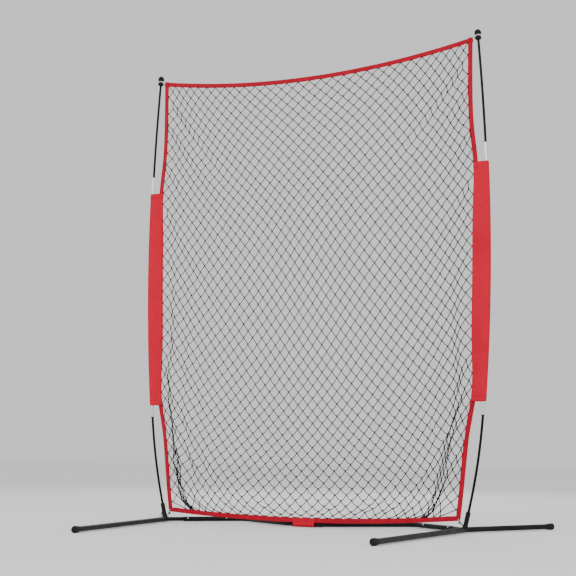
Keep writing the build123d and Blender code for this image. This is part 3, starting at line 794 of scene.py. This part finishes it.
# ---------------------------------------------------------------- pole sleeves
SLEEVE_ROWS, SLEEVE_AROUND = 150, 44
SLEEVE_CLOTH = 0.0009
SLEEVE_R = 0.0106
SLEEVE_LAP = 0.0225  # from the pocket's edge over the side band, to the band's inner edge
SLEEVE_FLAT = 0.0036  # half the thickness where the cloth lies over the band
HEM, HEM_THICK = 0.022, 0.0007
RUMPLE, DRAG_LINES = 0.0024, 0.0010  # the cloth's broad and fine unevenness
LEAST_PUSH = -0.0012  # so that the cloth stays clear of the pole
SLEEVE_SEAM = 0.006  # in from the lap's edge


def sleeve_ring(outline, z, sign, shrink):
    """One turn of the teardrop: round the pole, and flat to the seam beside the net."""
    low, high = outline.reach(Z, z, X)
    pole_r = SLEEVE_R - shrink
    pole_x = (high - SLEEVE_R) if sign > 0 else (low + SLEEVE_R)
    seam_x = (low if sign > 0 else high) - sign * (SLEEVE_LAP - shrink)
    reach = abs(pole_x - seam_x)
    ring = []
    for k in range(SLEEVE_AROUND):
        angle = 2 * math.pi * k / SLEEVE_AROUND
        lobe = math.cos(angle)
        if lobe >= 0:
            x = pole_x + sign * pole_r * lobe
            y = pole_r * math.sin(angle)
        else:
            x = pole_x + sign * reach * lobe
            flat = SLEEVE_FLAT - shrink
            y = math.copysign(flat + (pole_r - flat) * abs(math.sin(angle)) ** 2.2, math.sin(angle))
            if k == SLEEVE_AROUND // 2:
                y = 0.0
        ring.append((x, y, z, lobe))
    return ring


def make_sleeve(side, sign):
    outline = Outline(f"pole_sleeve_{side}")
    low, high = outline.points[:, 2].min() + 0.0005, outline.points[:, 2].max() - 0.0005
    layers = []
    for shrink in (0.0, SLEEVE_CLOTH):
        rings = []
        for z in np.linspace(low, high, SLEEVE_ROWS):
            to_end = min(z - low, high - z)
            hem = HEM_THICK if to_end < HEM and shrink == 0.0 else 0.0
            gather = 1.0 + 0.6 * math.exp(-to_end / 0.05)
            ring = []
            for x, y, height, lobe in sleeve_ring(outline, z, sign, shrink):
                slack = 0.35 + 0.65 * max(0.0, -lobe)
                front = 1.0 if y >= 0 else -1.0
                rumple = noise.noise(Vector((x * 26, front * 3.1 + sign, z * 7.5)))
                drag = noise.noise(Vector((x * 60 + z * 9, front * 1.7, z * 24 + 5 * sign)))
                push = slack * gather * (RUMPLE * rumple + DRAG_LINES * drag) * min(1.0, abs(y) / 0.002)
                ring.append((x, y + front * (max(push, LEAST_PUSH) + hem), height))
            rings.append(ring)
        layers.append(np.array(rings))
    outside, inside = layers
    rows, around = SLEEVE_ROWS, SLEEVE_AROUND
    points = np.concatenate([outside.reshape(-1, 3), inside.reshape(-1, 3)])
    faces = grid_faces(rows, around, True)
    faces += [tuple(reversed(f)) for f in grid_faces(rows, around, True, rows * around)]
    for row, turned in ((0, True), (rows - 1, False)):
        for k in range(around):
            a, b = row * around + k, row * around + (k + 1) % around
            rim = (a, b, b + rows * around, a + rows * around)
            faces.append(tuple(reversed(rim)) if turned else rim)
    if sign < 0:
        faces = [tuple(reversed(f)) for f in faces]
    piece = make_piece(f"sleeve_{side}", points, faces, "red_fabric", stands_for=[f"pole_sleeve_{side}"])
    stitches = []
    for z in (low + HEM, high - HEM):
        ring = np.array([p[:3] for p in sleeve_ring(outline, z, sign, -0.0011)])
        stitches += dashes(np.concatenate([ring, ring[:1]]))
    for front in (1, -1):
        seam = []
        for z in np.linspace(low + 0.004, high - 0.004, 160):
            span = outline.reach(Z, z, X)
            seam_x = (span[0] if sign > 0 else span[1]) - sign * (SLEEVE_LAP - SLEEVE_SEAM)
            seam.append((seam_x, front * (SLEEVE_FLAT + 0.0004), z))
        stitches += dashes(np.array(seam))
    thread = make_piece(f"sleeve_{side}_stitching", *joined(stitches), "red_fabric", finish="red_thread")


for side, sign in SIDES:
    make_sleeve(side, sign)

# ---------------------------------------------------------------- crossbar tab
TAB_CLOTH = 0.0011
TAB_HEM, TAB_HEM_THICKER = 0.006, 1.45
TAB_COLUMNS, TAB_ROWS = 46, 70
TAB_LOWEST = 0.0003  # above the floor


def make_tab():
    low, high = (np.array(corner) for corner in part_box("crossbar_tab"))
    bar_low, bar_high = (np.array(corner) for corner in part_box("centre_coupling"))
    centre_y, centre_z = (bar_low[1] + bar_high[1]) / 2, (bar_low[2] + bar_high[2]) / 2
    radius = (bar_high[1] - bar_low[1]) / 2 + 0.0008
    front = low[1] + TAB_CLOTH / 2
    path = [(front, high[2]), (front - 0.0002, 0.032), (front - 0.0004, 0.024),
            (front + 0.0002, 0.016), (front + 0.0016, 0.0085)]
    for angle in np.radians(np.arange(238, 452, 9)):
        path.append((centre_y + radius * math.cos(angle), centre_z + radius * math.sin(angle)))
    path.append((centre_y - 0.004, centre_z + radius + 0.0012))
    path = smooth_line([(0.0, y, max(z, 3 * TAB_LOWEST)) for y, z in path], TAB_ROWS)
    tangents = directions(path)
    across = np.array([1.0, 0, 0])
    columns = TAB_COLUMNS
    layers = []
    for face in (0.5, -0.5):
        grid = []
        for k, place in enumerate(path):
            normal = np.cross(across, tangents[k])
            row = []
            for column in range(columns):
                s = column / (columns - 1)
                x = low[0] + (high[0] - low[0]) * s
                edge = min(s, 1 - s) * (high[0] - low[0])
                hem = TAB_HEM_THICKER if edge < TAB_HEM else 1.0
                rumple = 0.0005 * noise.noise(Vector((x * 70, k * 0.12, 3.0)))
                spot = place + normal * (face * TAB_CLOTH * hem + rumple)
                row.append((x + 0.0006 * math.sin(k * 0.5), spot[1], max(spot[2], TAB_LOWEST)))
            grid.append(row)
        layers.append(np.array(grid))
    rows = len(path)
    points = np.concatenate([layer.reshape(-1, 3) for layer in layers])
    size = rows * columns
    faces = grid_faces(rows, columns, False)
    faces += [tuple(reversed(f)) for f in grid_faces(rows, columns, False, size)]
    rim = (list(range(columns)) + [r * columns + columns - 1 for r in range(1, rows)]
           + [(rows - 1) * columns + k for k in range(columns - 2, -1, -1)]
           + [r * columns for r in range(rows - 2, 0, -1)])
    for a, b in zip(rim, rim[1:] + rim[:1]):
        faces.append((b, a, a + size, b + size))
    piece = make_piece("crossbar_wrap", points, faces, "red_fabric", stands_for=["crossbar_tab"])
    stitches = []
    y = front - TAB_CLOTH
    x0, x1, z0, z1 = low[0] + 0.007, high[0] - 0.007, 0.0235, high[2] - 0.003
    corners = [(x0, y, z0), (x1, y, z0), (x1, y, z1), (x0, y, z1), (x0, y, z0)]
    for a, b in zip(corners, corners[1:]):
        stitches += dashes(np.linspace(a, b, 20))
    for a, b in ((corners[0], corners[2]), (corners[1], corners[3])):
        stitches += dashes(np.linspace(a, b, 30))
    thread = make_piece("crossbar_wrap_stitching", *joined(stitches), "red_fabric", finish="red_thread")


make_tab()

# ---------------------------------------------------------------- corner loops
CORD_R = 0.0016
CORD_TWIST, CORD_BULGE = 2200, 0.12
CROSSWAYS = (0.1, 1.0, 0.3)  # the first normal of a small ring
MAST_TOP_LEAN = 4.2  # degrees


def ring_of(name):
    """The centre and radius of the ring in a corner loop's CAD node."""
    points = Outline(name).points
    widest = np.abs(points[:, 1]).max()
    at_sides = points[np.abs(points[:, 1]) > 0.93 * widest]
    middle = at_sides.mean(0)
    return Vector((float(middle[0]), 0, float(middle[2]))), float(widest) - CORD_R


def circle(centre, axis, radius, count):
    """Points all the way round an axis."""
    axis = Vector(axis).normalized()
    first = axis.orthogonal().normalized()
    if abs(axis.z) > 0.5:
        first = Vector((1, 0, 0)) - axis * axis.x
        first.normalize()
    second = axis.cross(first)
    angles = [2 * math.pi * k / count for k in range(count + 1)]
    return [tuple(centre + radius * (math.cos(a) * first + math.sin(a) * second)) for a in angles]


def make_upper_loop(side, sign):
    centre, ring_y = ring_of(f"upper_loop_{side}")
    lean = math.radians(MAST_TOP_LEAN) * -sign
    axis = Vector((math.sin(lean), 0, math.cos(lean)))
    strands = []
    for lift, grow in ((0.0013, 0.0), (-0.0016, 0.0003)):
        ring = circle(centre + axis * lift, axis, ring_y + grow, 56)
        strands.append(round_cord(ring, CORD_R * 0.92, 10, CORD_TWIST, CORD_BULGE))
    band_low, band_high = (Vector(c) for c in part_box(f"side_band_{side}"))
    corner = Vector((band_high.x if sign > 0 else band_low.x, 0, band_high.z))
    corner -= Vector((sign * 0.006, 0, 0.006))
    leave = centre - Vector((sign * ring_y, 0, 0))
    for front in (1, -1):
        route = [leave + Vector((sign * 0.003, front * 0.0062, 0.0004)),
                 leave + Vector((-sign * 0.003, front * 0.0040, 0.0004)),
                 (leave + corner) / 2 + Vector((0, front * 0.0024, 0.0018)),
                 corner + Vector((sign * 0.004, front * 0.0030, 0.0030)),
                 corner + Vector((-sign * 0.002, front * 0.0034, -0.0005)),
                 corner + Vector((-sign * 0.004, 0, -0.0035))]
        strands.append(round_cord(smooth_line([tuple(p) for p in route], 40), CORD_R * 0.85, 10,
                                  CORD_TWIST * front, CORD_BULGE))
    knot = leave * 0.62 + corner * 0.38
    for tilt in (-0.5, 0.4):
        wrap = circle(knot, (sign, 0.25, tilt), 0.0029, 20)
        strands.append(round_cord(wrap, CORD_R * 0.8, 8, CORD_TWIST, CORD_BULGE, CROSSWAYS))
    make_piece(f"upper_cord_loop_{side}", *joined(strands), "pale_cord",
               stands_for=[f"upper_loop_{side}"])


def make_lower_loop(side, sign):
    hook_low, hook_high = (Vector(c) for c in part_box(f"net_hook_{side}"))
    tip = Vector(((hook_low.x if sign > 0 else hook_high.x) + sign * 0.0045, 0, hook_high.z - 0.0045))
    foot = Vector((hook_high.x if sign > 0 else hook_low.x, 0, hook_low.z + 0.002))
    axis = (tip - foot).normalized()
    centre, _ = ring_of(f"lower_loop_{side}")
    strands = []
    for lift in (0.0, 0.0024):
        ring = circle(centre - axis * lift, axis, 0.0041, 32)
        strands.append(round_cord(ring, CORD_R * 0.75, 8, CORD_TWIST, CORD_BULGE, CROSSWAYS))
    bottom_low, bottom_high = (Vector(c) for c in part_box("bottom_band"))
    corner_x = bottom_high.x if sign > 0 else bottom_low.x
    corner = Vector((corner_x - sign * 0.007, 0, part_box(f"side_band_{side}")[0][2] + 0.006))
    for front in (1, -1):
        route = [centre + Vector((0, front * 0.0042, -0.001)),
                 centre + Vector((sign * 0.0010, front * 0.0052, 0.003)),
                 (centre + corner) / 2 + Vector((sign * 0.0022, front * 0.0046, 0.0012)),
                 corner + Vector((sign * 0.0015, front * 0.0036, -0.0008)),
                 corner + Vector((-sign * 0.003, 0, 0.003))]
        strands.append(round_cord(smooth_line([tuple(p) for p in route], 36), CORD_R * 0.75, 8,
                                  CORD_TWIST * front, CORD_BULGE))
    make_piece(f"lower_cord_loop_{side}", *joined(strands), "pale_cord",
               stands_for=[f"lower_loop_{side}"])


for side, sign in SIDES:
    make_upper_loop(side, sign)
    make_lower_loop(side, sign)

# ---------------------------------------------------------------- the folded leaf springs
# These repeat the CAD's leaves as pieces of their own.
for joint in frame["record"]["behaviour"]["joints"]:
    for deforming in joint["deforming_nodes"]:
        node = deforming["node"]
        leaf = nodes[node].data
        points = np.array([tuple(v.co) for v in leaf.vertices])
        faces = [tuple(f.vertices) for f in leaf.polygons]
        spring = make_piece(f"{node}_leaf", points, faces, "bright_steel", stands_for=[node], smooth=False)
        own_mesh(spring)

# ---------------------------------------------------------------- sizes
low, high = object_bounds()
